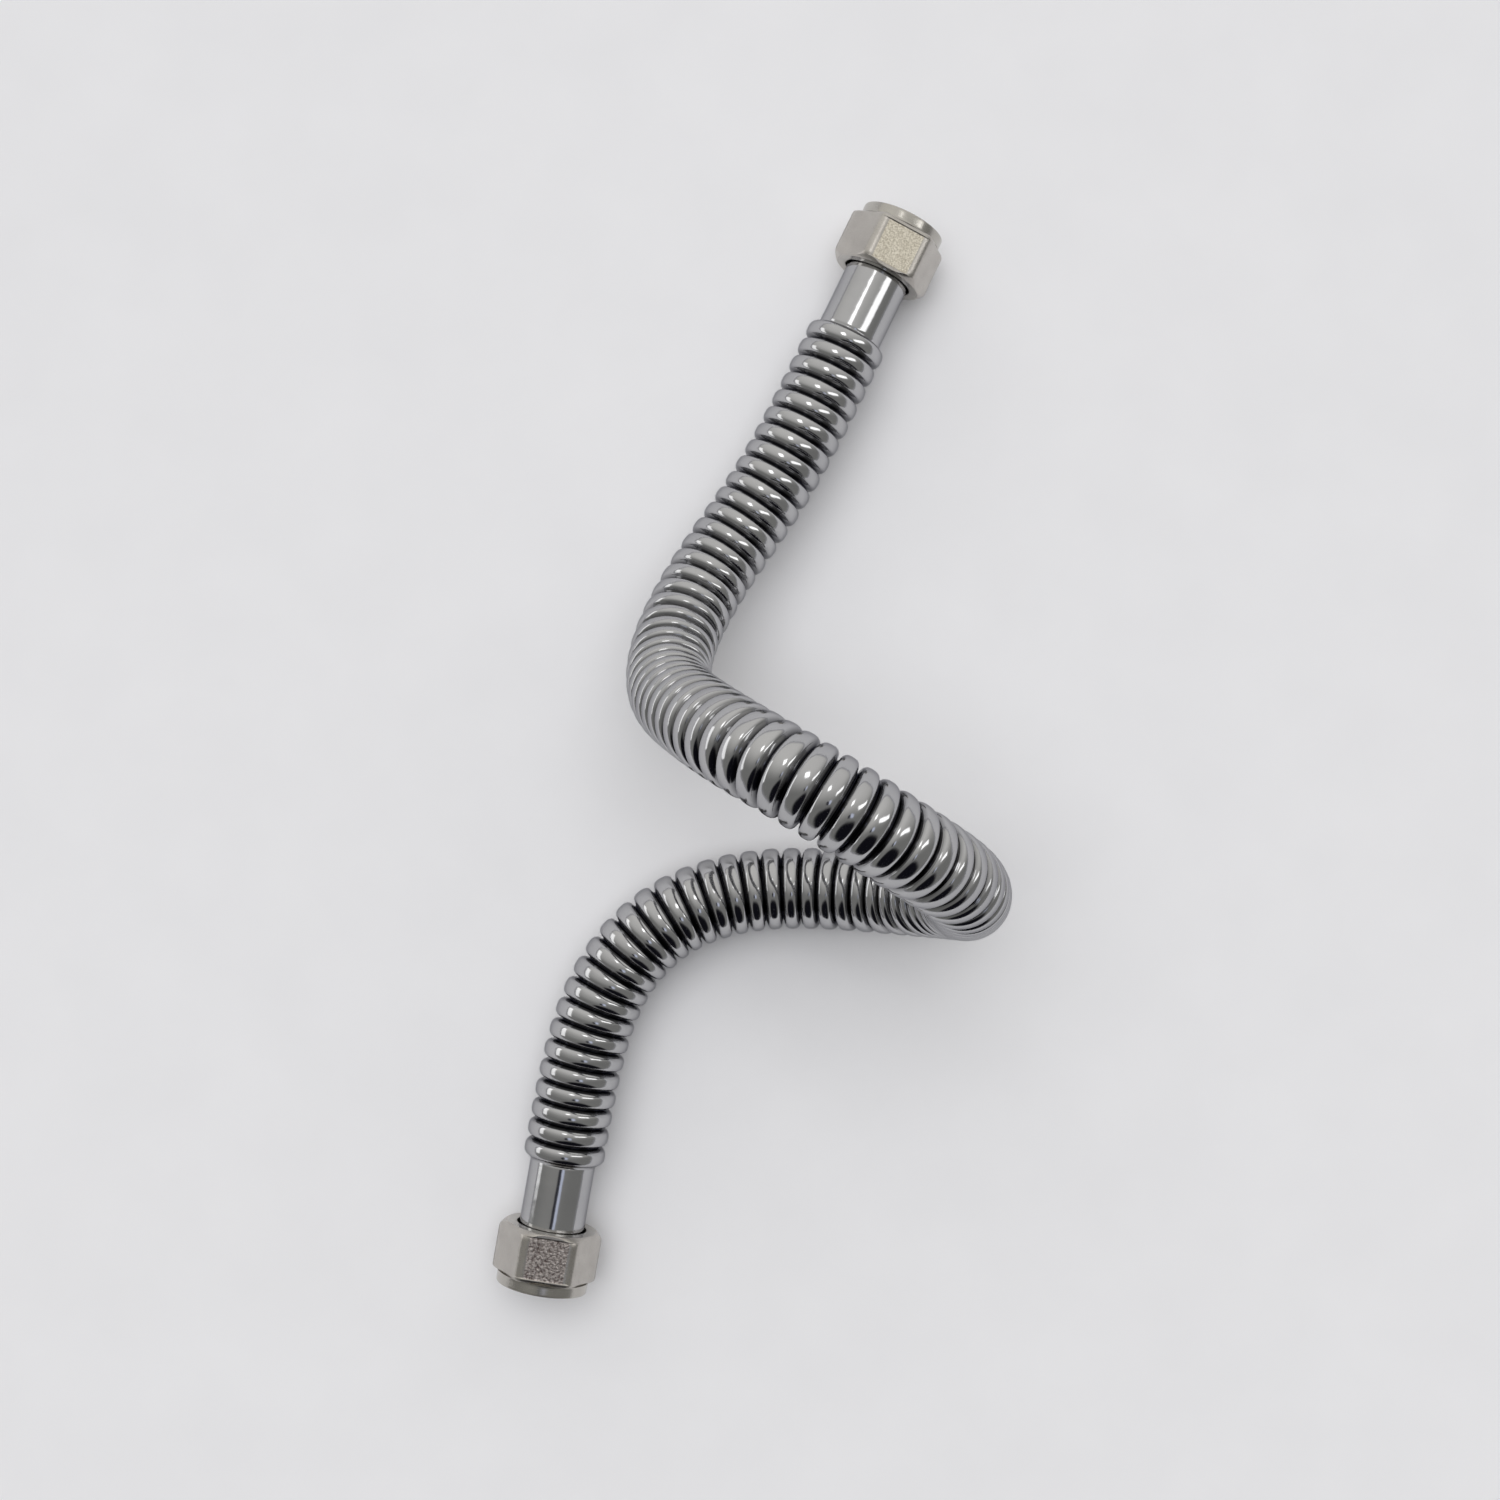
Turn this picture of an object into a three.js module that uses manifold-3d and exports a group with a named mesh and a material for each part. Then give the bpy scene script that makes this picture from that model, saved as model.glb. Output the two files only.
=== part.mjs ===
// Flexible corrugated steel connector hose, bent by hand into one open coil turn that lies on a
// flat surface. Each end has a plain cuff with a flange, a loose union nut, a split thrust ring
// that the nut pulls against, and a flat sealing washer.
// Millimetres, +Z up. The origin is under the middle of the hose, on the surface that it lies on.

import * as THREE from 'three';
import { mergeVertices } from 'three/addons/utils/BufferGeometryUtils.js';
import Module from 'manifold-3d';

const wasm = await Module();
wasm.setup();

// ---- driving dimensions -------------------------------------------------------------------

const GAP = 0.3;                  // clearance between pieces that touch on the real hose

// Centreline of the corrugated length: control points of a smooth cubic curve.
const ROUTE = [
  [36.4, 139.2, 19.4], [22.4, 110.2, 21.8], [8, 84, 24.3], [-9, 61, 27.5], [-23, 35, 41],
  [-24, 17, 66.5], [-15, 10, 97], [-2, 1, 124.5], [20, -11, 138], [48, -29, 133],
  [67, -41, 112], [71, -47, 83.5], [73, -49, 53.5], [60, -50, 26], [29, -48, 14.1],
  [3, -48, 13.4], [-25, -56, 16], [-45.8, -78, 16.6], [-54.6, -107, 17.5],
  [-60.5, -140.4, 16.9],
];

// Corrugated wall
const RING_COUNT = 86;            // rings along the whole hose
const CREST_R = 13.8;
const ROOT_R = 10.9;
const WALL = 0.4;
const CREST_START = 0.22;         // where the flat of a crest starts and ends, in ring pitches
const CREST_END = 0.78;
const HOSE_SIDES = 12;

// The hose in runs: name and number of rings. The two flexing bends join stiff runs.
const RUNS = [
  ['hose_upper_run', 5], ['hose_upper_bend', 8], ['hose_rising_run', 15], ['hose_top_run', 15],
  ['hose_falling_run', 14], ['hose_base_run', 11], ['hose_lower_bend', 10], ['hose_lower_run', 8],
];

// Cuff and flange, measured outward from the end of the corrugations
const CUFF_OUTER_R = 11.1;
const CUFF_INNER_R = 10.5;
const FLANGE_R = 12.0;
const FLANGE_START = 29.3;
const FLANGE_END = 30.5;

// Thrust ring: a C-shaped ring that snaps over the cuff behind the flange
const RING_INNER_R = 11.4;
const RING_OUTER_R = 13.1;
const RING_START = 27.0;
const RING_THICKNESS = 2.0;
const RING_SPLIT = 0.28;          // open angle of the C, radians

// Sealing washer on the face of the flange
const WASHER_INNER_R = 8.5;
const WASHER_OUTER_R = 11.8;
const WASHER_THICKNESS = 2.0;

// Union nut, measured outward from the end of the corrugations
const NUT_START = 22.5;           // back face, on the hose side
const HEX_END = 39.6;             // end of the hexagon, start of the round collar
const NUT_END = 43.4;             // open face
const HOLE_R = 11.9;              // clearance hole round the cuff
const SHOULDER_END = 26.7;        // inner face that presses on the thrust ring
const CAVITY_R = 13.5;            // room behind the thread for the thrust ring
const CAVITY_END = 31.2;
const THREAD_R = 12.2;            // crests of the G3/4 internal thread
const MOUTH_R = 13.3;
const MOUTH_DEPTH = 1.2;
const CAVITY_RUN_OUT = 1.2;       // length of the taper from the cavity down to the thread
const EDGE_BREAK = 0.3;           // small chamfer round the collar's open edge
const CORNER_CHAMFER = 2.0;       // length of the turned chamfer on the hexagon's back corners
const FRONT_CHAMFER = 1.2;        // the same on its corners next to the collar
const PANEL_DEPTH = 0.3;          // sunk panel on one flat of the hexagon
const PANEL_MARGIN = 1.3;
const ROUND_SIDES = 36;
const OVERLAP = 1;                // how far cutting and joined bodies run past a face

// The two nuts are different castings. turn: degrees that the panelled flat is rolled from the top.
const UPPER_NUT = { acrossFlats: 30.4, cornerR: 17.2, collarR: 14.5, turn: 9 };
const LOWER_NUT = { acrossFlats: 31, cornerR: 17.6, collarR: 15.5, turn: -4 };

// ---- materials ------------------------------------------------------------------------------

const steel = () => new THREE.MeshStandardMaterial({ color: 0xc4c4c8, roughness: 0.12, metalness: 1 });
const nickel = () => new THREE.MeshStandardMaterial({ color: 0xb4afa6, roughness: 0.32, metalness: 1 });
const acetal = () => new THREE.MeshStandardMaterial({ color: 0xe8e6df, roughness: 0.5, metalness: 0 });
const fibre = () => new THREE.MeshStandardMaterial({ color: 0x2b2b2d, roughness: 0.8, metalness: 0 });

// ---- helpers ----------------------------------------------------------------------------------

// Uniform cubic B-spline that starts and ends straight, on its first and last control points.
class RouteCurve extends THREE.Curve {
  constructor(points) {
    super();
    const p = points.map((q) => new THREE.Vector3(...q));
    const n = p.length;
    const before = p[0].clone().multiplyScalar(2).sub(p[1]);
    const after = p[n - 1].clone().multiplyScalar(2).sub(p[n - 2]);
    this.control = [before, ...p, after];
    this.spans = n - 1;
    this.arcLengthDivisions = 2000;
  }

  getPoint(t, target = new THREE.Vector3()) {
    const i = Math.min(Math.floor(t * this.spans), this.spans - 1);
    const w = t * this.spans - i;
    const weights = [
      (1 - w) ** 3,
      3 * w ** 3 - 6 * w ** 2 + 4,
      -3 * w ** 3 + 3 * w ** 2 + 3 * w + 1,
      w ** 3,
    ];
    target.set(0, 0, 0);
    weights.forEach((weight, k) => target.addScaledVector(this.control[i + k], weight / 6));
    return target;
  }
}

const route = new RouteCurve(ROUTE);
const hoseLength = route.getLength();
const pitch = hoseLength / RING_COUNT;

// Frames that follow the route without twisting about it.
const FRAME_STEPS = 400;
const frames = route.computeFrenetFrames(FRAME_STEPS, false);

function frameAt(distance) {
  const u = THREE.MathUtils.clamp(distance / hoseLength, 0, 1);
  const i = Math.min(Math.floor(u * FRAME_STEPS), FRAME_STEPS - 1);
  const w = u * FRAME_STEPS - i;
  const normal = frames.normals[i].clone().lerp(frames.normals[i + 1], w).normalize();
  const binormal = frames.binormals[i].clone().lerp(frames.binormals[i + 1], w).normalize();
  return { origin: route.getPointAt(u), normal, binormal };
}

// Bends a body of revolution, made straight along +Y, so that its axis follows the route.
function bendAlongRoute(geometry) {
  const position = geometry.attributes.position;
  const cache = new Map();
  for (let i = 0; i < position.count; i += 1) {
    const y = position.getY(i);
    if (!cache.has(y)) cache.set(y, frameAt(y));
    const { origin, normal, binormal } = cache.get(y);
    const point = origin.clone()
      .addScaledVector(normal, position.getX(i))
      .addScaledVector(binormal, -position.getZ(i));
    position.setXYZ(i, point.x, point.y, point.z);
  }
  geometry.computeVertexNormals();
  return geometry;
}

// Closed body of revolution about +Y from [radius, y] pairs that run round its section.
function turned(section, sides = ROUND_SIDES) {
  const points = [...section, section[0]].map(([r, y]) => new THREE.Vector2(r, y));
  return new THREE.LatheGeometry(points, sides);
}

function toSolid(geometry) {
  const bare = geometry.clone();
  bare.deleteAttribute('normal');
  bare.deleteAttribute('uv');
  const merged = mergeVertices(bare, 1e-4);
  return new wasm.Manifold(new wasm.Mesh({
    numProp: 3,
    vertProperties: new Float32Array(merged.attributes.position.array),
    triVerts: new Uint32Array(merged.index.array),
  }));
}

function toGeometry(solid) {
  const mesh = solid.getMesh();
  const geometry = new THREE.BufferGeometry();
  geometry.setAttribute('position', new THREE.BufferAttribute(mesh.vertProperties, 3));
  geometry.setIndex(new THREE.BufferAttribute(mesh.triVerts, 1));
  geometry.computeVertexNormals();
  return geometry;
}

function named(name, geometry, material) {
  const mesh = new THREE.Mesh(geometry, material);
  mesh.name = name;
  return mesh;
}

// ---- hose -------------------------------------------------------------------------------------

// One run of rings. It starts and ends in the bottom of a groove, half a gap short at each end.
function corrugatedRun(firstRing, ringTotal) {
  const start = firstRing * pitch + GAP / 2;
  const end = (firstRing + ringTotal) * pitch - GAP / 2;
  const groove = (k) => THREE.MathUtils.clamp((firstRing + k) * pitch, start, end);
  const outside = [[ROOT_R, start]];
  const inside = [[ROOT_R - WALL, start]];
  for (let k = 0; k < ringTotal; k += 1) {
    const ringStart = (firstRing + k) * pitch;
    outside.push([CREST_R, ringStart + CREST_START * pitch]);
    outside.push([CREST_R, ringStart + CREST_END * pitch]);
    outside.push([ROOT_R, groove(k + 1)]);
    inside.push([CREST_R - WALL, ringStart + pitch / 2]);
    inside.push([ROOT_R - WALL, groove(k + 1)]);
  }
  return bendAlongRoute(turned([...outside, ...inside.reverse()], HOSE_SIDES));
}

function hose() {
  const group = new THREE.Group();
  let ring = 0;
  for (const [name, count] of RUNS) {
    group.add(named(name, corrugatedRun(ring, count), steel()));
    ring += count;
  }
  return group;
}

// ---- end fittings, each made straight along +Y from the end of the corrugations ----------------

function cuff() {
  return turned([
    [CUFF_INNER_R, GAP / 2], [CUFF_OUTER_R, GAP / 2], [CUFF_OUTER_R, FLANGE_START],
    [FLANGE_R, FLANGE_START], [FLANGE_R, FLANGE_END], [CUFF_INNER_R, FLANGE_END],
  ]);
}

function thrustRing() {
  const half = RING_SPLIT / 2;
  const shape = new THREE.Shape();
  shape.absarc(0, 0, RING_OUTER_R, half, 2 * Math.PI - half, false);
  shape.absarc(0, 0, RING_INNER_R, 2 * Math.PI - half, half, true);
  const geometry = new THREE.ExtrudeGeometry(shape, {
    depth: RING_THICKNESS, bevelEnabled: false, curveSegments: ROUND_SIDES,
  });
  geometry.rotateX(-Math.PI / 2);
  geometry.translate(0, RING_START, 0);
  return geometry;
}

function washer() {
  const start = FLANGE_END + GAP;
  const end = start + WASHER_THICKNESS;
  return turned([
    [WASHER_INNER_R, start], [WASHER_OUTER_R, start], [WASHER_OUTER_R, end], [WASHER_INNER_R, end],
  ]);
}

function nutHexagon({ acrossFlats, cornerR }) {
  const length = HEX_END - NUT_START;
  const flat = acrossFlats / 2;
  const sharpCorner = flat / Math.cos(Math.PI / 6);
  const prism = new THREE.CylinderGeometry(sharpCorner, sharpCorner, length, 6);
  prism.rotateY(Math.PI / 6);
  prism.translate(0, NUT_START + length / 2, 0);
  const envelope = turned([
    [0, NUT_START - OVERLAP], [flat, NUT_START - OVERLAP], [flat, NUT_START],
    [cornerR, NUT_START + CORNER_CHAMFER], [cornerR, HEX_END - FRONT_CHAMFER],
    [cornerR - FRONT_CHAMFER, HEX_END], [cornerR - FRONT_CHAMFER, HEX_END + OVERLAP],
    [0, HEX_END + OVERLAP],
  ]);
  return toSolid(prism).intersect(toSolid(envelope));
}

function nutBore() {
  return toSolid(turned([
    [0, NUT_START - OVERLAP], [HOLE_R, NUT_START - OVERLAP], [HOLE_R, SHOULDER_END],
    [CAVITY_R, SHOULDER_END], [CAVITY_R, CAVITY_END], [THREAD_R, CAVITY_END + CAVITY_RUN_OUT],
    [THREAD_R, NUT_END - MOUTH_DEPTH], [MOUTH_R, NUT_END], [MOUTH_R, NUT_END + OVERLAP],
    [0, NUT_END + OVERLAP],
  ]));
}

// Shallow box that sinks a panel into the flat on the +Z side of the nut.
function nutPanel({ acrossFlats }) {
  const flatWidth = acrossFlats * Math.tan(Math.PI / 6);
  const length = HEX_END - NUT_START - 2 * PANEL_MARGIN;
  const box = new THREE.BoxGeometry(flatWidth - 2 * PANEL_MARGIN, length, 2 * PANEL_DEPTH);
  box.translate(0, (NUT_START + HEX_END) / 2, acrossFlats / 2);
  return toSolid(box);
}

function unionNut(size) {
  const collar = toSolid(turned([
    [0, HEX_END - OVERLAP], [size.collarR, HEX_END - OVERLAP], [size.collarR, NUT_END - EDGE_BREAK],
    [size.collarR - EDGE_BREAK, NUT_END], [0, NUT_END],
  ]));
  return toGeometry(nutHexagon(size).add(collar).subtract(nutBore()).subtract(nutPanel(size)));
}

// Everything on one end of the hose. outward points away from the corrugations, and the nut's
// panelled flat faces up before it is rolled by its own turn.
function endFitting(prefix, origin, outward, size) {
  const group = new THREE.Group();
  group.add(named(`${prefix}_cuff`, cuff(), steel()));
  group.add(named(`${prefix}_thrust_ring`, thrustRing(), acetal()));
  group.add(named(`${prefix}_sealing_washer`, washer(), fibre()));
  const nut = named(`${prefix}_union_nut`, unionNut(size), nickel());
  nut.rotation.y = THREE.MathUtils.degToRad(size.turn);
  group.add(nut);
  const side = new THREE.Vector3().crossVectors(outward, new THREE.Vector3(0, 0, 1)).normalize();
  const up = new THREE.Vector3().crossVectors(side, outward);
  group.quaternion.setFromRotationMatrix(new THREE.Matrix4().makeBasis(side, outward, up));
  group.position.copy(origin);
  return group;
}

// ---- assembly ---------------------------------------------------------------------------------

const group = new THREE.Group();
group.add(hose());
group.add(endFitting('upper', route.getPointAt(0), route.getTangentAt(0).negate(), UPPER_NUT));
group.add(endFitting('lower', route.getPointAt(1), route.getTangentAt(1), LOWER_NUT));

export default group;
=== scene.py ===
"""Semi-rigid corrugated steel connector hose, bent by hand into one open coil turn, with a plain
cuff, a split thrust ring, a sealing washer and a loose union nut at each end.

Metres, +Z up. The coil lies on the floor and the camera looks straight down on it.
"""
import math

import bpy
import numpy as np
from mathutils import Matrix, Vector


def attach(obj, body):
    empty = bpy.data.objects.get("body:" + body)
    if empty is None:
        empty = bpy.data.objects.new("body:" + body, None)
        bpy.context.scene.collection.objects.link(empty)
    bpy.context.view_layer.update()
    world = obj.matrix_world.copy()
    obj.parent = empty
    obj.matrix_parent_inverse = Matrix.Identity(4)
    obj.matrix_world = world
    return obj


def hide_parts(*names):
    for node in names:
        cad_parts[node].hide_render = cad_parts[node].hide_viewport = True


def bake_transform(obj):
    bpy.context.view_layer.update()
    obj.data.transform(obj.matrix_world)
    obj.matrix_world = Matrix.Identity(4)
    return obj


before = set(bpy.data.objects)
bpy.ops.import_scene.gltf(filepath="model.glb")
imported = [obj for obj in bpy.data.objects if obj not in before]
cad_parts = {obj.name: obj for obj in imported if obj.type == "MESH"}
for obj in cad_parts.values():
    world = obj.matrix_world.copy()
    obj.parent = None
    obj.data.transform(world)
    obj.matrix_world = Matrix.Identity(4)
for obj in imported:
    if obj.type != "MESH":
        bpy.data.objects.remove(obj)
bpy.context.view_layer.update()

# ---- driving dimensions, metres ----------------------------------------------------------------

MM = 0.001

# Centreline of the corrugated length: control points of a smooth cubic curve.
ROUTE = [
    (0.0364, 0.1392, 0.0194), (0.0224, 0.1102, 0.0218), (0.008, 0.084, 0.0243),
    (-0.009, 0.061, 0.0275), (-0.023, 0.035, 0.041), (-0.024, 0.017, 0.0665),
    (-0.015, 0.010, 0.097), (-0.002, 0.001, 0.1245), (0.020, -0.011, 0.138),
    (0.048, -0.029, 0.133), (0.067, -0.041, 0.112), (0.071, -0.047, 0.0835),
    (0.073, -0.049, 0.0535), (0.060, -0.050, 0.026), (0.029, -0.048, 0.0141),
    (0.003, -0.048, 0.0134), (-0.025, -0.056, 0.016), (-0.0458, -0.078, 0.0166),
    (-0.0546, -0.107, 0.0175), (-0.0605, -0.1404, 0.0169),
]

# Corrugated wall. Each ring is a rounded lobe, and a narrow groove parts it from the next.
RING_COUNT = 86
CREST_R = 13.8 * MM
ROOT_R = 10.9 * MM
GROOVE_WIDTH = 1.0 * MM
GROOVE_DIP = 0.3 * MM             # how far the rounded bottom of a groove goes below the lobes
LOBE_FULLNESS = 2.8               # 2 is a half ellipse, more is squarer
WALL = 0.3 * MM
LOBE_STEPS = 14
INNER_STEPS = 6
HOSE_SIDES = 64

# Rings at which the bends start and end, and at which the hose is parted into two meshes.
UPPER_BEND = (5, 13)
LOWER_BEND = (68, 78)
PARTING = 28

# Cuff and flange, measured outward from the end of the corrugations
CUFF_R = 11.1 * MM
FLANGE_R = 12.0 * MM
FLANGE_START = 29.3 * MM
FLANGE_END = 30.5 * MM

# Thrust ring
RING_INNER_R = 11.4 * MM
RING_OUTER_R = 13.1 * MM
RING_START = 27.0 * MM
RING_END = 29.0 * MM
RING_SPLIT = 0.28                 # open angle, radians

# Sealing washer
WASHER_INNER_R = 8.5 * MM
WASHER_OUTER_R = 11.8 * MM
WASHER_START = 30.8 * MM
WASHER_END = 32.8 * MM

# Union nut, measured outward from the end of the corrugations
NUT_START = 22.5 * MM
HEX_END = 39.6 * MM
NUT_END = 43.4 * MM
HOLE_R = 11.9 * MM
SHOULDER_END = 26.7 * MM
CAVITY_R = 13.5 * MM
CAVITY_END = 31.2 * MM
MOUTH_R = 13.3 * MM
MOUTH_DEPTH = 1.2 * MM
CORNER_CHAMFER = 2.0 * MM
FRONT_CHAMFER = 1.2 * MM
FRONT_DROP = 0.8                  # drop of the flats over the front chamfer, as a share of it
COLLAR_FILLET = 0.25 * MM
PANEL_DEPTH = 0.3 * MM
PANEL_MARGIN = 1.3 * MM
PANEL_SLOPE = 0.35 * MM           # width of the slope from a flat down into the panel
PANEL_RIM = 0.5 * MM              # length at each end of the panel that gets closer rows
PANEL_INSET = 0.2 * MM            # how far inside the panel's edge its stipple starts
EDGE_ROUND = 0.35 * MM
CORNER_BLEND = 0.12 * MM          # how softly the flats run into the chamfer and the corners

# G3/4 internal thread
THREAD_PITCH = 25.4 / 14 * MM
THREAD_CREST_R = 12.12 * MM
THREAD_ROOT_R = 13.2 * MM
THREAD_START = CAVITY_END + 1.2 * MM
THREAD_STEPS = 12                 # rows for each turn of the thread

UPPER_NUT = {"across_flats": 30.4 * MM, "corner_r": 17.2 * MM, "collar_r": 14.5 * MM, "turn": 9}
LOWER_NUT = {"across_flats": 31 * MM, "corner_r": 17.6 * MM, "collar_r": 15.5 * MM, "turn": -4}

# Camera over the coil
CAMERA_PLACE = (0.003, -0.001, 0.799)
CAMERA_LENS = 55.2
CAMERA_SENSOR = 36

# Room that the polished metal mirrors: a gradient from dark to light, and patches in it.
# Each has a direction, the cosine from it at which the change starts and the cosine at which it is
# complete, and each patch has its colour. In order, the patches are a grey one over everything
# near and below the horizon, a wide near-black one on the -Y side, and two small ones almost
# overhead, a bright bluish one and a dark one.
ROOM_GRADIENT = ((0, 0.9, 0.43), 0.0, 1.0)
ROOM_DARK = (0.27, 0.27, 0.26, 1)
ROOM_LIGHT = (0.86, 0.85, 0.82, 1)
ROOM_PATCHES = [
    ((0, 0, -1), -0.16, 0.0, (0.46, 0.46, 0.48, 1)),
    ((0, -0.87, 0.5), 0.79, 0.90, (0.008, 0.008, 0.012, 1)),
    ((0.13, -0.22, 0.97), 0.9930, 0.9970, (0.80, 0.86, 1.05, 1)),
    ((-0.03, -0.23, 0.97), 0.9940, 0.9975, (0.03, 0.03, 0.04, 1)),
]
BACKDROP = (0.80, 0.80, 0.81, 1)

FLOOR_SIZE = 16.0
FLOOR_LEVEL = -0.3 * MM

# Soft boxes for the metal to mirror: name, place, size and power. They don't light the floor.
LIGHTS = [
    ("key_box", (-0.08, 0.58, 1.27), (0.30, 0.30), 0.62),
    ("side_box", (0.95, 0.15, 1.15), (0.26, 0.90), 1.4),
    ("low_box", (-1.40, 0.35, 0.35), (1.2, 0.35), 1.6),
]

# Broad light from above for the floor and the soft shadows, which the metal doesn't mirror.
FILL_FROM = (-0.15, 0.30, 1.70)
FILL_SPREAD = math.radians(55)
FILL_STRENGTH = 1.35


# ---- the route of the hose ----------------------------------------------------------------------

STEPS_PER_SPAN = 120


def route_points():
    """Closely spaced points of the cubic curve that starts and ends on the ends of ROUTE."""
    points = np.array(ROUTE)
    before = 2 * points[0] - points[1]
    after = 2 * points[-1] - points[-2]
    control = np.vstack([before, points, after])
    w = np.linspace(0, 1, STEPS_PER_SPAN, endpoint=False)[:, None]
    weights = [
        (1 - w) ** 3,
        3 * w ** 3 - 6 * w ** 2 + 4,
        -3 * w ** 3 + 3 * w ** 2 + 3 * w + 1,
        w ** 3,
    ]
    spans = []
    for i in range(len(points) - 1):
        spans.append(sum(weights[k] * control[i + k] for k in range(4)) / 6)
    return np.vstack([*spans, points[-1]])


def carried_normals(points, tangents):
    """A normal at every point, carried along the curve without turning about it."""
    normal = np.cross(tangents[0], (0, 0, 1))
    normals = [normal / np.linalg.norm(normal)]
    for i in range(len(points) - 1):
        step = points[i + 1] - points[i]
        size = step @ step
        flipped = normals[-1] - 2 / size * (step @ normals[-1]) * step
        turned = tangents[i] - 2 / size * (step @ tangents[i]) * step
        back = tangents[i + 1] - turned
        if back @ back > 1e-18:
            flipped = flipped - 2 / (back @ back) * (back @ flipped) * back
        normals.append(flipped)
    return np.array(normals)


POINTS = route_points()
STEPS = np.linalg.norm(np.diff(POINTS, axis=0), axis=1)
DISTANCES = np.concatenate([[0], np.cumsum(STEPS)])
HOSE_LENGTH = DISTANCES[-1]
PITCH = HOSE_LENGTH / RING_COUNT
TANGENTS = np.gradient(POINTS, DISTANCES, axis=0)
TANGENTS /= np.linalg.norm(TANGENTS, axis=1)[:, None]
NORMALS = carried_normals(POINTS, TANGENTS)


def frames_at(distances):
    """Centres, normals and binormals at distances along the hose, which runs on straight past
    its ends."""
    inside = np.clip(distances, 0, HOSE_LENGTH)

    def blend(values):
        return np.column_stack([np.interp(inside, DISTANCES, values[:, k]) for k in range(3)])

    tangent = blend(TANGENTS)
    tangent /= np.linalg.norm(tangent, axis=1)[:, None]
    normal = blend(NORMALS)
    normal -= np.sum(normal * tangent, axis=1)[:, None] * tangent
    normal /= np.linalg.norm(normal, axis=1)[:, None]
    centre = blend(POINTS) + (distances - inside)[:, None] * tangent
    return centre, normal, np.cross(tangent, normal)


def ring_point(ring):
    """The centre of the groove before a ring."""
    centre = frames_at(np.array([ring * PITCH]))[0]
    return tuple(centre[0])


# ---- mesh helpers -----------------------------------------------------------------------------


def ring_mesh(name, rows, along, heights=None):
    """A mesh from rows of points, each row a closed loop, the last row joined to the first.
    along gives each row's place on the texture's first axis, in metres, and one more to close it.
    heights, if given, fills a second texture layer with a value for every row."""
    count, sides = rows.shape[:2]
    vertices = rows.reshape(-1, 3)
    faces = []
    corners = []
    levels = []
    for j in range(count):
        k = (j + 1) % count
        for i in range(sides):
            n = (i + 1) % sides
            faces.append((j * sides + i, j * sides + n, k * sides + n, k * sides + i))
            u0, u1 = along[j], along[j + 1]
            v0, v1 = i / sides, (i + 1) / sides
            corners += [(u0, v0), (u0, v1), (u1, v1), (u1, v0)]
            if heights is not None:
                levels += [(heights[j], 0), (heights[j], 1), (heights[k], 1), (heights[k], 0)]
    mesh = bpy.data.meshes.new(name)
    mesh.from_pydata(vertices.tolist(), [], faces)
    layer = mesh.uv_layers.new(name="along_around")
    layer.data.foreach_set("uv", np.array(corners, np.float32).ravel())
    if heights is not None:
        layer = mesh.uv_layers.new(name="height")
        layer.data.foreach_set("uv", np.array(levels, np.float32).ravel())
    mesh.polygons.foreach_set("use_smooth", [True] * len(mesh.polygons))
    mesh.update()
    return mesh


def add_object(name, mesh, materials):
    obj = bpy.data.objects.new(name, mesh)
    bpy.context.scene.collection.objects.link(obj)
    for material in materials:
        mesh.materials.append(material)
    return obj


def lengths_along(section):
    """Running length round a section of (distance, radius) pairs, one more than its points."""
    closed = np.vstack([section, section[:1]])
    steps = np.linalg.norm(np.diff(closed, axis=0), axis=1)
    return np.concatenate([[0], np.cumsum(steps)])


def rounded(corners, radius, steps=4):
    """A closed section of (distance, radius) corners with each corner rounded by a small arc."""
    corners = [np.array(c, float) for c in corners]
    out = []
    for i, corner in enumerate(corners):
        before = corners[i - 1] - corner
        after = corners[(i + 1) % len(corners)] - corner
        cut = min(radius, np.linalg.norm(before) / 2.01, np.linalg.norm(after) / 2.01)
        start = corner + before / np.linalg.norm(before) * cut
        end = corner + after / np.linalg.norm(after) * cut
        for t in np.linspace(0, 1, steps):
            out.append((1 - t) ** 2 * start + 2 * t * (1 - t) * corner + t ** 2 * end)
    return np.array(out)


def turned_rows(section, sides):
    """Rows of points about +Y from (distance, radius) pairs."""
    angles = np.linspace(0, 2 * math.pi, sides, endpoint=False)
    radius = section[:, 1][:, None]
    return np.stack([
        radius * np.sin(angles),
        np.repeat(section[:, 0][:, None], sides, axis=1),
        radius * np.cos(angles),
    ], axis=2)


# ---- hose and cuffs -----------------------------------------------------------------------------


def lobe_height(x, half):
    """Height of a ring's lobe, from 0 at its feet to 1 on its crest."""
    return (1 - np.abs(x / half) ** LOBE_FULLNESS) ** (1 / LOBE_FULLNESS)


def ring_outline(ring):
    """(distance, radius) points of the outside of one ring, from its groove up and down again."""
    half = (PITCH - GROOVE_WIDTH) / 2
    middle = (ring + 0.5) * PITCH
    x = -half * np.cos(np.linspace(0, math.pi, LOBE_STEPS))
    lobe = [(middle + d, ROOT_R + (CREST_R - ROOT_R) * lobe_height(d, half)) for d in x]
    return [(ring * PITCH, ROOT_R - GROOVE_DIP), *lobe]


def ring_lining(ring):
    """The same for the inside of the wall, with fewer points."""
    middle = (ring + 0.5) * PITCH
    half = PITCH / 2 - WALL
    x = half * np.cos(np.linspace(math.pi, 0, INNER_STEPS, endpoint=False))
    lobe = [(middle + d, ROOT_R - WALL + (CREST_R - ROOT_R) * lobe_height(d, half)) for d in x]
    return [(ring * PITCH, ROOT_R - GROOVE_DIP - WALL), *lobe]


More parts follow.
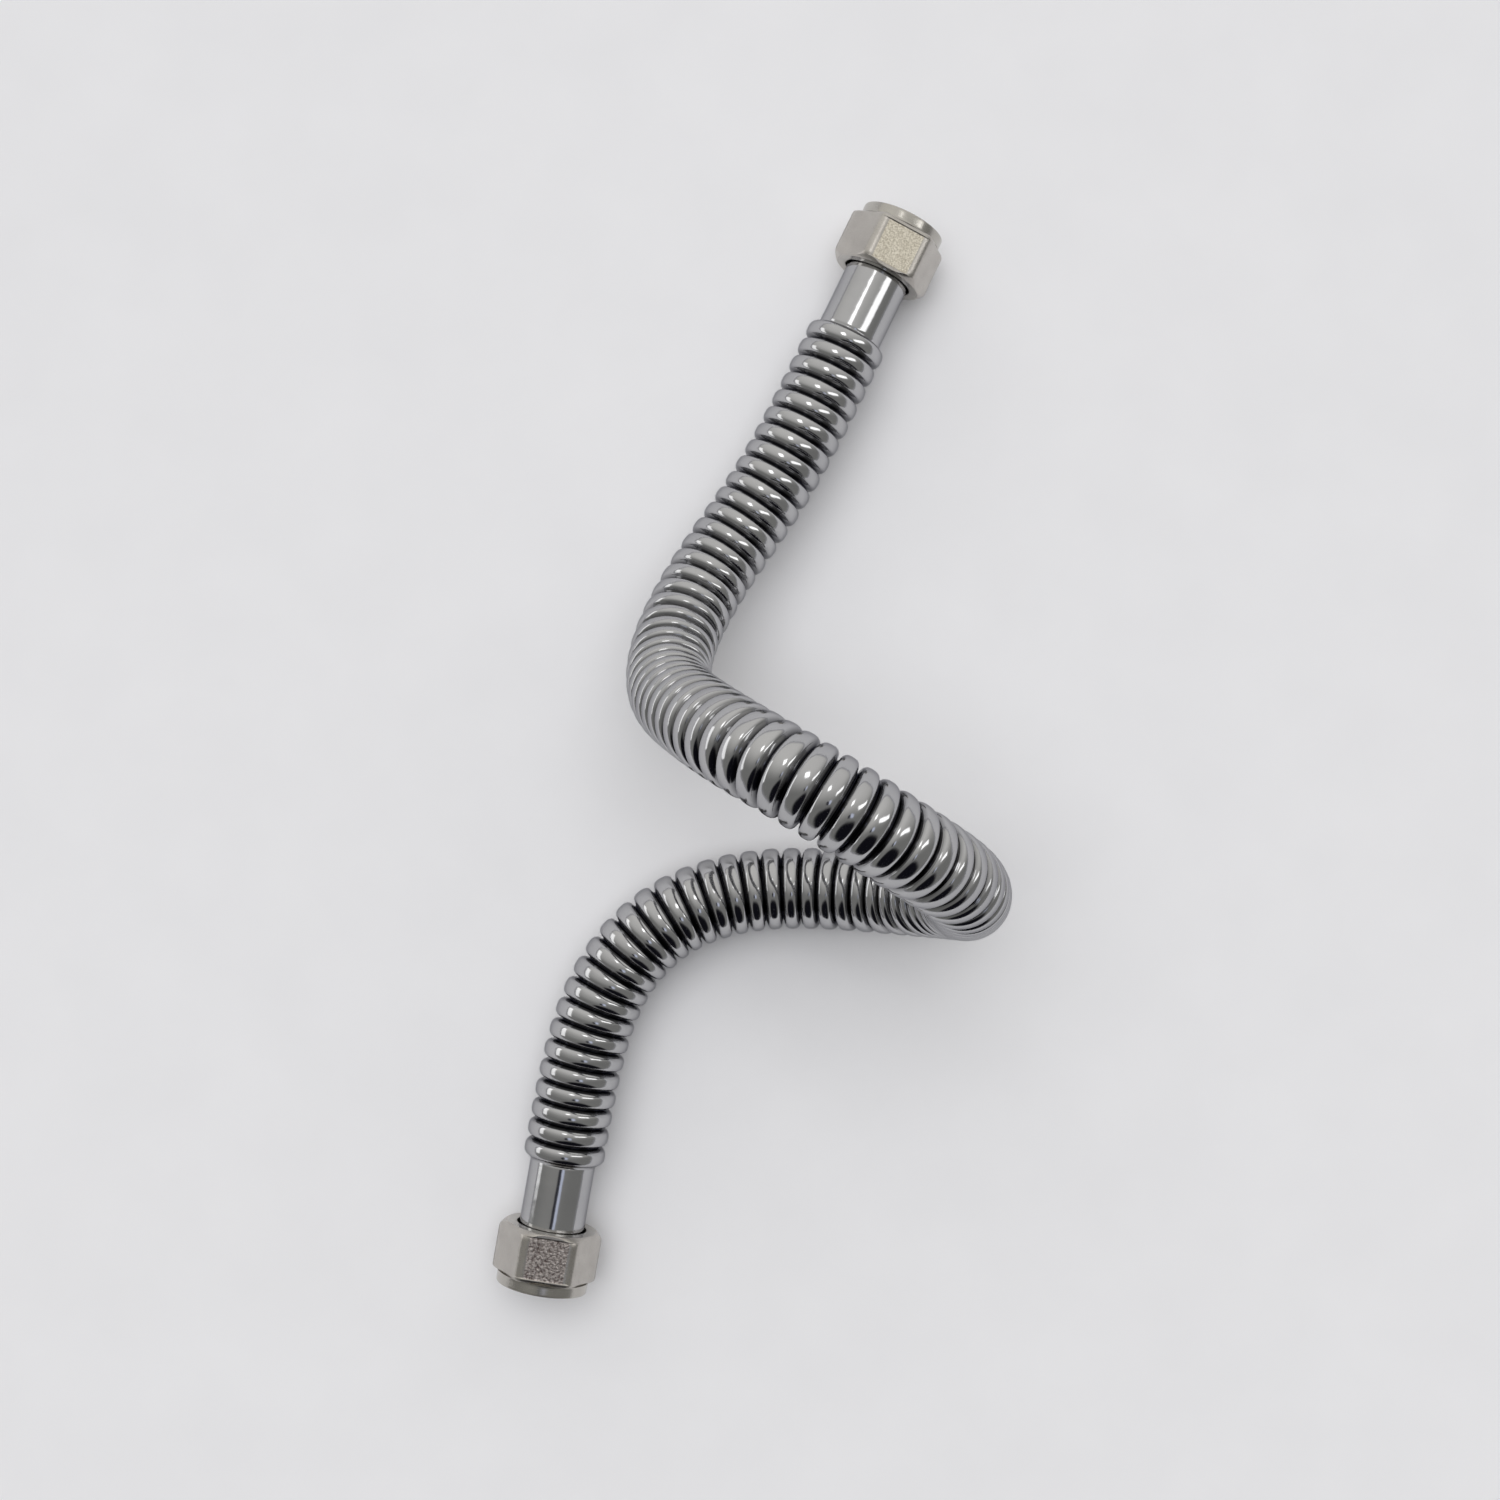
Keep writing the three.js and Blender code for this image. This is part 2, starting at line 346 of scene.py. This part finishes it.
def hose_section(first, last, cuff_before, cuff_after):
    """Closed section of the hose from ring first up to ring last, with the cuffs asked for. The
    first ring of all has no groove before it."""
    outside = []
    inside = []
    end = last * PITCH
    if cuff_before:
        outside += [(-d, r) for d, r in cuff_outline()[::-1]]
        inside += [(-d, r) for d, r in cuff_lining()[::-1]]
    for ring in range(first, last):
        skipped = 1 if ring == 0 else 0
        outside += ring_outline(ring)[skipped:]
        inside += ring_lining(ring)[skipped:]
    if cuff_after:
        outside += [(end + d, r) for d, r in cuff_outline()]
        inside += [(end + d, r) for d, r in cuff_lining()]
    else:
        outside.append((end, ROOT_R - GROOVE_DIP))
        inside.append((end, ROOT_R - GROOVE_DIP - WALL))
    return np.array(outside + inside[::-1])


def cuff_outline():
    """Outside of a cuff, from the last ring's foot to the rolled flange."""
    r = (FLANGE_END - FLANGE_START) / 2
    middle = FLANGE_START + r
    roll = [
        (middle - r * math.cos(a), FLANGE_R - r + r * math.sin(a))
        for a in np.linspace(0, math.pi, 9)
    ]
    foot = [(0.3 * MM, CUFF_R - 0.15 * MM), (0.7 * MM, CUFF_R), (1.2 * MM, CUFF_R)]
    plain = [(FLANGE_START * k / 6, CUFF_R) for k in range(1, 6)]
    neck = [(FLANGE_START - 0.4 * MM, CUFF_R), (FLANGE_START - 0.1 * MM, CUFF_R + 0.1 * MM)]
    return [*foot, *plain, *neck, *roll]


def cuff_lining():
    """Inside of a cuff, which opens a little at the flange."""
    r = CUFF_R - WALL
    return [
        (0.7 * MM, r), (10 * MM, r), (20 * MM, r), (FLANGE_START, r),
        (FLANGE_END - 0.3 * MM, r + 0.05 * MM), (FLANGE_END - 0.05 * MM, r + 0.25 * MM),
    ]


def hose_mesh(name, section):
    """The section swept round the route."""
    centre, normal, binormal = frames_at(section[:, 0])
    angles = np.linspace(0, 2 * math.pi, HOSE_SIDES, endpoint=False)
    around = (
        normal[:, None, :] * np.cos(angles)[None, :, None]
        + binormal[:, None, :] * np.sin(angles)[None, :, None]
    )
    rows = centre[:, None, :] + around * section[:, 1][:, None, None]
    # Height up each ring, 0 in a groove. The steel's colour paints shade into the grooves from it,
    # and the cuffs count as crest so they get none.
    heights = np.clip((section[:, 1] - ROOT_R) / (CREST_R - ROOT_R), 0, 1)
    on_cuff = (section[:, 0] < 0) | (section[:, 0] > HOSE_LENGTH)
    heights[on_cuff] = 1
    return ring_mesh(name, rows[:, ::-1], lengths_along(section), heights)


def make_hose(steel):
    upper = add_object(
        "hose_upper_length",
        hose_mesh("hose_upper_length", hose_section(0, PARTING, True, False)),
        [steel],
    )
    lower = add_object(
        "hose_lower_length",
        hose_mesh("hose_lower_length", hose_section(PARTING, RING_COUNT, False, True)),
        [steel],
    )
    ring_point(UPPER_BEND[0])
    ring_point(UPPER_BEND[1])
    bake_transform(upper)
    ring_point(LOWER_BEND[0])
    ring_point(LOWER_BEND[1])
    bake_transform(lower)
    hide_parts("upper_cuff", "hose_upper_run", "hose_upper_bend", "hose_rising_run")
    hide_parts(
        "hose_top_run", "hose_falling_run", "hose_base_run", "hose_lower_bend",
        "hose_lower_run", "lower_cuff",
    )


# ---- end fittings, each made along +Y from the end of the corrugations --------------------------


def end_matrix(upper):
    """Where an end's own axes lie: X to the side, Y outward and Z up."""
    if upper:
        origin, outward = Vector(POINTS[0]), Vector(-TANGENTS[0])
    else:
        origin, outward = Vector(POINTS[-1]), Vector(TANGENTS[-1])
    side = outward.cross(Vector((0, 0, 1))).normalized()
    up = side.cross(outward)
    matrix = Matrix((side, outward, up)).transposed().to_4x4()
    matrix.translation = origin
    return matrix


def nut_angles():
    """Angles round a nut, closer together at its corners and at the edges of the panel."""
    sixth = math.pi / 3
    inside = np.linspace(-0.5, 0.5, 17)[:-1]
    eased = inside + 0.06 * np.sin(4 * math.pi * inside)
    angles = [k * sixth + sixth * eased for k in range(6)]
    return np.concatenate(angles)


def soft_min(a, b, width):
    """The smaller of a and b, with a rounded change from one to the other."""
    h = np.clip(0.5 + 0.5 * (b - a) / width, 0, 1)
    return b * (1 - h) + a * h - width * h * (1 - h)


def step_between(low, high, x):
    """0 below low, 1 above high, and a smooth rise between them."""
    t = np.clip((x - low) / (high - low), 0, 1)
    return t * t * (3 - 2 * t)


def hexagon_radius(angles, y, size):
    """Radius of the nut's outside in its hexagonal part, at each angle and one distance."""
    flat = size["across_flats"] / 2
    from_flat = (angles + math.pi / 6) % (math.pi / 3) - math.pi / 6
    hexagon = flat / np.cos(from_flat)
    rise = np.interp(
        y,
        [NUT_START, NUT_START + CORNER_CHAMFER, HEX_END - FRONT_CHAMFER, HEX_END],
        [flat, size["corner_r"], size["corner_r"], size["corner_r"] - FRONT_CHAMFER],
    )
    radius = soft_min(hexagon, rise, CORNER_BLEND)
    half_width = flat * math.tan(math.pi / 6) - PANEL_MARGIN
    across = flat * np.tan(np.clip(angles, -math.pi / 3, math.pi / 3))
    in_width = step_between(-half_width, -half_width + PANEL_SLOPE, across)
    in_width = in_width * (1 - step_between(half_width - PANEL_SLOPE, half_width, across))
    low, high = NUT_START + PANEL_MARGIN, HEX_END - PANEL_MARGIN
    in_length = step_between(low, low + PANEL_SLOPE, y)
    in_length = in_length * (1 - step_between(high - PANEL_SLOPE, high, y))
    return radius - PANEL_DEPTH * in_width * in_length


def signed(angles):
    """The same angles between minus and plus half a turn."""
    return (angles + math.pi) % (2 * math.pi) - math.pi


def thread_radius(angles, y):
    """Radius of the internal thread, which fades out towards the cavity."""
    phase = (y / THREAD_PITCH - angles / (2 * math.pi)) * 2 * math.pi
    wave = 0.5 + 0.5 * np.cos(phase)
    depth = THREAD_ROOT_R - THREAD_CREST_R
    fade = step_between(THREAD_START, THREAD_START + THREAD_PITCH, y)
    return THREAD_CREST_R + depth * wave * fade


def nut_rows(size):
    """The angles round the nut, and the rows round its whole section. A row is a distance, a
    radius for each angle, and a tag for the surface that starts there."""
    angles = signed(nut_angles())
    full = np.ones_like(angles)
    e = EDGE_ROUND
    rows = []

    def row(y, radius, tag):
        rows.append((y, radius * full, tag))

    # back face, from the clearance hole outward, then round on to the flats
    for t in np.linspace(0, 1, 4):
        a = t * math.pi / 2
        row(NUT_START + 0.5 * e * (1 - math.sin(a)), HOLE_R + 0.5 * e * (1 - math.cos(a)), "turned")
    outer = hexagon_radius(angles, NUT_START, size)
    for t in (0.25, 0.5, 0.75):
        row(NUT_START, HOLE_R + 0.5 * e + t * (outer - e - HOLE_R - 0.5 * e), "turned")
    for t in np.linspace(0, 1, 5):
        a = t * math.pi / 2
        y = NUT_START + e * (1 - math.cos(a))
        row(y, hexagon_radius(angles, y, size) - e * (1 - math.sin(a)), "flat")

    # the hexagon
    low, high = NUT_START + e, HEX_END - FRONT_CHAMFER
    panel_low, panel_high = NUT_START + PANEL_MARGIN, HEX_END - PANEL_MARGIN
    stops = [
        *np.linspace(low, panel_low, 6)[1:],
        *np.linspace(panel_low, panel_low + PANEL_RIM, 6)[1:],
        *np.linspace(panel_low + PANEL_RIM, panel_high - PANEL_RIM, 14)[1:],
        *np.linspace(panel_high - PANEL_RIM, panel_high, 6)[1:],
        *np.linspace(panel_high, high, 4)[1:],
    ]
    for y in stops:
        row(y, hexagon_radius(angles, y, size), "flat")
    drop = FRONT_DROP * (HEX_END - high)
    for t in np.linspace(0, 1, 5)[1:]:
        a = t * math.pi / 2
        y = high + (HEX_END - high) * math.sin(a)
        row(y, hexagon_radius(angles, high, size) - drop * (1 - math.cos(a)), "flat")
    edge = hexagon_radius(angles, high, size) - drop
    for t in (0.3, 0.6, 0.9):
        row(HEX_END, edge + t * (size["collar_r"] + 0.1 * MM - edge), "turned")

    # the collar
    for t in np.linspace(0, 1, 4):
        a = t * math.pi / 2
        row(
            HEX_END + COLLAR_FILLET * (1 - math.cos(a)),
            size["collar_r"] + COLLAR_FILLET * (1 - math.sin(a)),
            "turned",
        )
    for y in np.linspace(HEX_END + COLLAR_FILLET, NUT_END - e, 6)[1:]:
        row(y, size["collar_r"], "turned")
    for t in np.linspace(0, 1, 6)[1:]:
        a = t * math.pi / 2
        row(NUT_END - e * (1 - math.sin(a)), size["collar_r"] - e * (1 - math.cos(a)), "turned")
    row(NUT_END, MOUTH_R + 0.15 * MM, "turned")

    # the mouth and the thread
    row(NUT_END - 0.04 * MM, MOUTH_R + 0.03 * MM, "inside")
    turns = (NUT_END - MOUTH_DEPTH - THREAD_START) / THREAD_PITCH
    chamfer = THREAD_ROOT_R - THREAD_CREST_R
    for y in np.linspace(NUT_END - 0.15 * MM, THREAD_START, int(turns * THREAD_STEPS)):
        cone = MOUTH_R - (NUT_END - y) / MOUTH_DEPTH * chamfer
        row(y, np.maximum(thread_radius(angles, y), cone), "inside")

    # the cavity, the shoulder and the clearance hole
    row(CAVITY_END + 0.6 * MM, CAVITY_R - 0.5 * MM, "inside")
    row(CAVITY_END, CAVITY_R, "inside")
    row((CAVITY_END + SHOULDER_END) / 2, CAVITY_R, "inside")
    row(SHOULDER_END + 0.2 * MM, CAVITY_R, "inside")
    row(SHOULDER_END, CAVITY_R - 0.2 * MM, "inside")
    row(SHOULDER_END, HOLE_R + 0.2 * MM, "inside")
    row(SHOULDER_END - 0.2 * MM, HOLE_R, "inside")
    row((SHOULDER_END + NUT_START) / 2, HOLE_R, "inside")
    return angles, rows


# Places of a nut's three materials in its list
SATIN, TURNED, PANEL = 0, 1, 2


def nut_mesh(name, size):
    """The nut about +Y, with each surface given its material."""
    angles, rows = nut_rows(size)
    points = np.array([
        np.column_stack([r * np.sin(angles), np.full_like(angles, y), r * np.cos(angles)])
        for y, r, _ in rows
    ])
    section = np.array([(y, r.mean()) for y, r, _ in rows])
    mesh = ring_mesh(name, points, lengths_along(section))
    places = {"flat": SATIN, "turned": TURNED, "inside": TURNED}
    sides = len(angles)
    flat = size["across_flats"] / 2
    panel_half = flat * math.tan(math.pi / 6) - PANEL_MARGIN - PANEL_INSET
    panel_start = NUT_START + PANEL_MARGIN + PANEL_INSET
    panel_end = HEX_END - PANEL_MARGIN - PANEL_INSET
    for polygon in mesh.polygons:
        tag = rows[polygon.index // sides][2]
        polygon.material_index = places[tag]
        x, along, up = polygon.center
        on_top_flat = tag == "flat" and abs(x) < panel_half and up > 0.9 * flat
        if on_top_flat and panel_start < along < panel_end:
            polygon.material_index = PANEL
    return mesh


def thrust_ring_mesh(name):
    """C-shaped ring with rounded edges and flat ends."""
    section = rounded([
        (RING_START, RING_INNER_R), (RING_START, RING_OUTER_R),
        (RING_END, RING_OUTER_R), (RING_END, RING_INNER_R),
    ], 0.3 * MM)
    half = RING_SPLIT / 2
    angles = np.linspace(half, 2 * math.pi - half, 65)
    count = len(section)
    vertices = [
        (r * math.sin(a), y, r * math.cos(a)) for a in angles for y, r in section
    ]
    faces = []
    for i in range(len(angles) - 1):
        for j in range(count):
            k = (j + 1) % count
            faces.append((i * count + j, (i + 1) * count + j, (i + 1) * count + k, i * count + k))
    faces.append(tuple(range(count)))
    faces.append(tuple((len(angles) - 1) * count + j for j in reversed(range(count))))
    mesh = bpy.data.meshes.new(name)
    mesh.from_pydata(vertices, [], faces)
    for polygon in mesh.polygons:
        polygon.use_smooth = len(polygon.vertices) == 4
    return mesh


def washer_mesh(name):
    section = rounded([
        (WASHER_START, WASHER_INNER_R), (WASHER_START, WASHER_OUTER_R),
        (WASHER_END, WASHER_OUTER_R), (WASHER_END, WASHER_INNER_R),
    ], 0.25 * MM)
    return ring_mesh(name, turned_rows(section, 72), lengths_along(section))


def make_end(prefix, upper, size, materials):
    """The thrust ring, the washer and the nut of one end."""
    place = end_matrix(upper)
    leg = f"{prefix}_leg"

    def put(piece, mesh, body, slots, turn=0.0):
        mesh.transform(place @ Matrix.Rotation(math.radians(turn), 4, "Y"))
        obj = add_object(f"{prefix}_{piece}_fine", mesh, slots)
        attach(obj, body)
        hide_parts(f"{prefix}_{piece}")

    put("thrust_ring", thrust_ring_mesh(f"{prefix}_thrust_ring"), f"{prefix}_ring",
        [materials["acetal"]])
    put("sealing_washer", washer_mesh(f"{prefix}_sealing_washer"), leg,
        [materials["fibre"]])
    panel = materials["warm_panel"] if upper else materials["dark_panel"]
    put("union_nut", nut_mesh(f"{prefix}_union_nut", size), f"{prefix}_nut",
        [materials["nickel"], materials["nickel_turned"], panel],
        size["turn"])


# ---- materials --------------------------------------------------------------------------------


class Nodes:
    """Short way to build a material's node tree."""

    def __init__(self, name):
        self.material = bpy.data.materials.new(name)
        self.material.use_nodes = True
        self.tree = self.material.node_tree
        self.shader = self.tree.nodes["Principled BSDF"]

    def add(self, kind, inputs=None, **settings):
        node = self.tree.nodes.new(kind)
        for key, value in settings.items():
            setattr(node, key, value)
        for key, value in (inputs or {}).items():
            if isinstance(value, bpy.types.NodeSocket):
                self.tree.links.new(value, node.inputs[key])
            else:
                node.inputs[key].default_value = value
        return node

    def noise(self, vector, scale, detail=3.0, roughness=0.5):
        inputs = {"Vector": vector, "Scale": scale, "Detail": detail, "Roughness": roughness}
        return self.add("ShaderNodeTexNoise", inputs).outputs["Fac"]

    def position(self):
        return self.add("ShaderNodeTexCoord").outputs["Object"]

    def along_around(self, stretch):
        uv = self.add("ShaderNodeUVMap", uv_map="along_around").outputs["UV"]
        return self.add("ShaderNodeMapping", {"Vector": uv, "Scale": stretch}).outputs["Vector"]

    def height(self):
        """Height up a ring of the hose: 0 in the groove, 1 on the crest and on the cuffs."""
        uv = self.add("ShaderNodeUVMap", uv_map="height").outputs["UV"]
        return self.add("ShaderNodeSeparateXYZ", {"Vector": uv}).outputs["X"]

    def ramp(self, value, low, high, start=0.3, end=0.7):
        inputs = {"Value": value, "From Min": start, "From Max": end, "To Min": low, "To Max": high}
        return self.add("ShaderNodeMapRange", inputs).outputs["Result"]

    def mix(self, factor, first, second):
        node = self.add("ShaderNodeMix", data_type="RGBA")
        self.tree.links.new(factor, node.inputs[0])
        for socket, colour in ((node.inputs[6], first), (node.inputs[7], second)):
            if isinstance(colour, bpy.types.NodeSocket):
                self.tree.links.new(colour, socket)
            else:
                socket.default_value = (*colour, 1)
        return node.outputs[2]

    def bump(self, height, distance, strength=1.0, below=None):
        inputs = {"Height": height, "Distance": distance, "Strength": strength}
        if below is not None:
            inputs["Normal"] = below
        return self.add("ShaderNodeBump", inputs).outputs["Normal"]

    def drive(self, **sockets):
        for key, value in sockets.items():
            socket = self.shader.inputs[key.replace("_", " ")]
            if isinstance(value, bpy.types.NodeSocket):
                self.tree.links.new(value, socket)
            else:
                socket.default_value = value
        return self.material


def polished_steel():
    n = Nodes("polished_steel")
    place = n.position()
    clouds = n.noise(place, 60)
    drawn = n.noise(n.along_around((9000, 3, 1)), 1.0, 2)
    waves = n.noise(place, 260, 1)
    unshaded_steel = n.mix(n.ramp(clouds, 0, 1), (0.45, 0.45, 0.46), (0.50, 0.50, 0.505))
    # The grooves are painted near-black in the base colour, following the height layer: painted
    # shade between the rings. Crests and cuffs keep the plain steel tone.
    colour = n.mix(n.ramp(n.height(), 0, 1, 0.15, 0.85), (0.010, 0.010, 0.014), unshaded_steel)
    roughness = n.ramp(drawn, 0.09, 0.14)
    ripple = n.bump(waves, 0.00006, 0.5)
    normal = n.bump(drawn, 0.000004, 0.4, ripple)
    n.drive(Specular_Tint=(0.50, 0.50, 0.52, 1))
    return n.drive(Base_Color=colour, Roughness=roughness, Metallic=1.0, Normal=normal)


def satin_nickel():
    n = Nodes("satin_nickel")
    place = n.position()
    clouds = n.noise(place, 150, 4)
    grain = n.noise(place, 2600, 4, 0.6)
    colour = n.mix(n.ramp(clouds, 0, 1), (0.46, 0.435, 0.405), (0.54, 0.515, 0.48))
    roughness = n.ramp(grain, 0.24, 0.38)
    normal = n.bump(grain, 0.00003, 0.6)
    return n.drive(Base_Color=colour, Roughness=roughness, Metallic=1.0, Normal=normal)


def turned_nickel():
    n = Nodes("turned_nickel")
    clouds = n.noise(n.position(), 150, 4)
    lines = n.noise(n.along_around((16000, 2, 1)), 1.0, 2)
    colour = n.mix(n.ramp(clouds, 0, 1), (0.45, 0.43, 0.40), (0.53, 0.51, 0.47))
    roughness = n.ramp(lines, 0.16, 0.28)
    normal = n.bump(lines, 0.00001, 0.5)
    return n.drive(Base_Color=colour, Roughness=roughness, Metallic=1.0, Normal=normal)


def stippled_nickel(name, dark, light, size, depth):
    n = Nodes(name)
    place = n.position()
    grain = n.noise(place, size, 3, 0.6)
    colour = n.mix(n.ramp(grain, 0, 1, 0.36, 0.64), dark, light)
    roughness = n.ramp(grain, 0.5, 0.34)
    normal = n.bump(grain, depth, 0.9)
    return n.drive(Base_Color=colour, Roughness=roughness, Metallic=1.0, Normal=normal)


def moulded_acetal():
    n = Nodes("moulded_acetal")
    grain = n.noise(n.position(), 900, 3)
    colour = n.mix(n.ramp(grain, 0, 1), (0.84, 0.83, 0.78), (0.90, 0.89, 0.85))
    normal = n.bump(grain, 0.00002, 0.3)
    return n.drive(Base_Color=colour, Roughness=n.ramp(grain, 0.42, 0.52), Normal=normal)


def pressed_fibre():
    n = Nodes("pressed_fibre")
    grain = n.noise(n.position(), 1600, 5, 0.7)
    colour = n.mix(n.ramp(grain, 0, 1), (0.02, 0.02, 0.02), (0.07, 0.07, 0.075))
    normal = n.bump(grain, 0.00006, 0.6)
    return n.drive(Base_Color=colour, Roughness=n.ramp(grain, 0.7, 0.9), Normal=normal)


def make_materials():
    return {
        "steel": polished_steel(),
        "nickel": satin_nickel(),
        "nickel_turned": turned_nickel(),
        "warm_panel": stippled_nickel(
            "stippled_nickel_warm", (0.52, 0.47, 0.38), (0.86, 0.81, 0.70), 1800, 0.00014
        ),
        "dark_panel": stippled_nickel(
            "stippled_nickel_dark", (0.20, 0.16, 0.155), (0.84, 0.77, 0.74), 1150, 0.00032
        ),
        "acetal": moulded_acetal(),
        "fibre": pressed_fibre(),
    }


# ---- stage --------------------------------------------------------------------------------------


def make_floor():
    bpy.ops.mesh.primitive_plane_add(size=FLOOR_SIZE, location=(0, 0, FLOOR_LEVEL))
    floor = bpy.context.object
    floor.name = "floor"
    n = Nodes("pale_floor")
    grain = n.noise(n.position(), 30)
    colour = n.mix(n.ramp(grain, 0, 1), (0.85, 0.85, 0.88), (0.87, 0.87, 0.90))
    floor.data.materials.append(n.drive(Base_Color=colour, Roughness=0.9))


def add_light(name, data, place):
    """Puts a light at a place, shining on the object."""
    light = bpy.data.objects.new(name, data)
    light.location = place
    light.rotation_euler = (-Vector(place)).to_track_quat("-Z", "Y").to_euler()
    bpy.context.scene.collection.objects.link(light)
    return light


def area_light(name, place, size, power):
    data = bpy.data.lights.new(name, "AREA")
    data.shape = "RECTANGLE"
    data.size, data.size_y = size
    data.energy = power
    add_light(name, data, place).visible_diffuse = False


def fill_light():
    data = bpy.data.lights.new("fill", "SUN")
    data.angle = FILL_SPREAD
    data.energy = FILL_STRENGTH
    add_light("fill", data, FILL_FROM).visible_glossy = False


def make_world():
    """Room for the metal to mirror, lighter towards +Y, with the patches laid over it in order.
    The camera itself sees a plain pale backdrop."""
    world = bpy.data.worlds.new("studio")
    bpy.context.scene.world = world
    world.use_nodes = True
    tree = world.node_tree
    background = tree.nodes["Background"]

    def add(kind, inputs, **settings):
        node = tree.nodes.new(kind)
        for key, value in settings.items():
            setattr(node, key, value)
        for key, value in inputs.items():
            if isinstance(value, bpy.types.NodeSocket):
                tree.links.new(value, node.inputs[key])
            else:
                node.inputs[key].default_value = value
        return node

    def spread(value, low, high):
        inputs = {"Value": value, "From Min": low, "From Max": high}
        return add("ShaderNodeMapRange", inputs, interpolation_type="SMOOTHSTEP").outputs["Result"]

    def towards(direction, low, high):
        inputs = {0: direction_of_ray, 1: Vector(direction).normalized()}
        dot = add("ShaderNodeVectorMath", inputs, operation="DOT_PRODUCT").outputs["Value"]
        return spread(dot, low, high)

    def mix(factor, first, second):
        return add("ShaderNodeMix", {0: factor, 6: first, 7: second}, data_type="RGBA").outputs[2]

    direction_of_ray = add("ShaderNodeTexCoord", {}).outputs["Generated"]
    room = mix(towards(*ROOM_GRADIENT), ROOM_DARK, ROOM_LIGHT)
    for direction, start, end, colour in ROOM_PATCHES:
        room = mix(towards(direction, start, end), room, colour)
    ray = add("ShaderNodeLightPath", {}).outputs["Is Camera Ray"]
    tree.links.new(mix(ray, room, BACKDROP), background.inputs["Color"])


def make_camera():
    data = bpy.data.cameras.new("camera")
    data.sensor_fit = "HORIZONTAL"
    data.sensor_width = CAMERA_SENSOR
    data.lens = CAMERA_LENS
    camera = bpy.data.objects.new("camera", data)
    camera.location = CAMERA_PLACE
    bpy.context.scene.collection.objects.link(camera)
    bpy.context.scene.camera = camera


def make_stage():
    make_camera()
    make_floor()
    make_world()
    for name, place, size, power in LIGHTS:
        area_light(name, place, size, power)
    fill_light()


# ---- the whole object ---------------------------------------------------------------------------

make_stage()
MATERIALS = make_materials()
make_hose(MATERIALS["steel"])
make_end("upper", True, UPPER_NUT, MATERIALS)
make_end("lower", False, LOWER_NUT, MATERIALS)
bpy.context.scene.view_settings.view_transform = "Standard"
